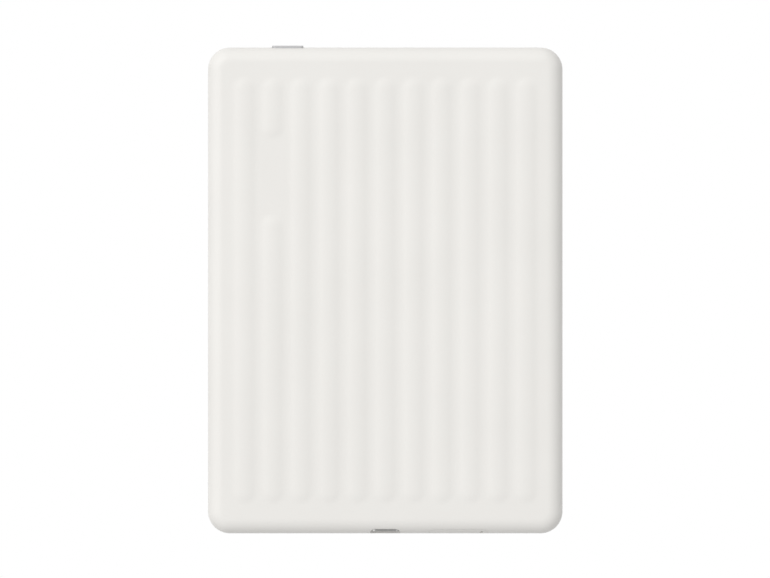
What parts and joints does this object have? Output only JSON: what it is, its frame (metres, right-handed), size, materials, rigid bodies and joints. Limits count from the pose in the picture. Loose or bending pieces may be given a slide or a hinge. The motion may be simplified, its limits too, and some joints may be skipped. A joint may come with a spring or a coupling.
{
  "type": "e-reader",
  "caption": "Slim six-inch e-reader with an off-white ribbed plastic back, flush glass front, power button, USB-C port and card tray",
  "frame": {"origin": "middle of the front glass face, on which it lies", "axes": "+Z out of the back, +Y to the top edge with the power button, +X to the right seen from behind"},
  "size_m": [0.108, 0.1485, 0.0068],
  "materials": {
    "shell_plastic": "fine moulded grain",
    "button_plastic": "satin moulded",
    "screen_glass": "polished",
    "dark_film": "printed",
    "clear_film": "clear",
    "ink_film": "paper-like",
    "panel_glass": "polished",
    "silicon": "polished",
    "flex_film": "satin",
    "foam": "soft",
    "led_body": "gloss",
    "frame_sheet": "stamped",
    "screw_steel": "plated",
    "standoff_brass": "turned",
    "pouch_foil": "satin foil",
    "wire_red": "satin",
    "connector_plastic": "satin",
    "board": "solder mask",
    "chip_resin": "moulded",
    "tin_sheet": "tin plated",
    "pad_rubber": "soft",
    "ferrite": "sintered",
    "chip_ceramic": "fired",
    "port_steel": "drawn",
    "contact_gold": "gold plated",
    "switch_plastic": "satin",
    "cable_jacket": "satin"
  },
  "bodies": {
    "base": {"antenna_carrier": "connector_plastic", "antenna_coax": "cable_jacket", "antenna_flex": "flex_film", "antenna_plug": "contact_gold", "battery_cell": "pouch_foil", "battery_lead": "wire_red", "battery_plug": "connector_plastic", "battery_protection_board": "board", "battery_socket": "connector_plastic", "battery_tape": "foam", "bezel_print": "dark_film", "capacitors": "chip_ceramic", "card_socket_base": "connector_plastic", "card_socket_cage": "tin_sheet", "card_socket_contacts": "contact_gold", "cover_glass": "screen_glass", "crystals": "tin_sheet", "display_connector": "connector_plastic", "display_drivers": "silicon", "display_flex": "flex_film", "display_foam": "foam", "eink_film": "ink_film", "flash_chip": "chip_resin", "front_frame": "shell_plastic", "frontlight_connector": "connector_plastic", "frontlight_leds": "led_body", "frontlight_strip": "flex_film", "glass_adhesive": "dark_film", "hall_sensor": "chip_resin", "inductors": "ferrite", "key_bracket": "frame_sheet", "key_connector": "connector_plastic", "key_flex": "flex_film", "lever_pivot": "standoff_brass", "light_guide": "clear_film", "mainboard": "board", "mainboard_screws": "screw_steel", "memory_chip": "chip_resin", "mid_frame": "frame_sheet", "mid_frame_screws": "screw_steel", "power_chip": "chip_resin", "processor": "chip_resin", "radio_module": "tin_sheet", "rear_shell": "shell_plastic", "shield_can": "tin_sheet", "standoffs": "standoff_brass", "switch_body": "connector_plastic", "tft_backplane": "panel_glass", "thermal_pad": "pad_rubber", "touch_connector": "connector_plastic", "touch_flex": "flex_film", "touch_sensor": "clear_film", "usb_contacts": "contact_gold", "usb_shell": "port_steel", "usb_tongue": "connector_plastic"},
    "button": {"power_button": "button_plastic"},
    "plunger": {"switch_plunger": "switch_plastic"},
    "tray": {"card_tray": "shell_plastic"},
    "rod": {"eject_rod": "tin_sheet"},
    "lever": {"eject_lever": "tin_sheet"}
  },
  "joints": [
    {"name": "button_press", "type": "slide", "parent": "base", "child": "button", "axis": [0, -1, 0], "range_m": [0, 0.00025], "stiffness_N_per_m": 2000, "springref_m": -0.00005},
    {"name": "plunger_press", "type": "slide", "parent": "base", "child": "plunger", "axis": [0, -1, 0], "range_m": [0, 0.00025]},
    {"name": "tray_slide", "type": "slide", "parent": "base", "child": "tray", "axis": [0, -1, 0], "range_m": [0, 0.017]},
    {"name": "rod_push", "type": "slide", "parent": "base", "child": "rod", "axis": [0, 1, 0], "range_m": [0, 0.0009]},
    {"name": "lever_turn", "type": "hinge", "parent": "base", "child": "lever", "pos_m": [0.0245, -0.0525, 0.004], "axis": [0, 0, 1], "range_deg": [0, 11]}
  ],
  "couplings": [
    {"joint": "plunger_press", "follows": "button_press", "ratio": 1},
    {"joint": "lever_turn", "follows": "rod_push", "rad_per_m": 209.57}
  ]
}
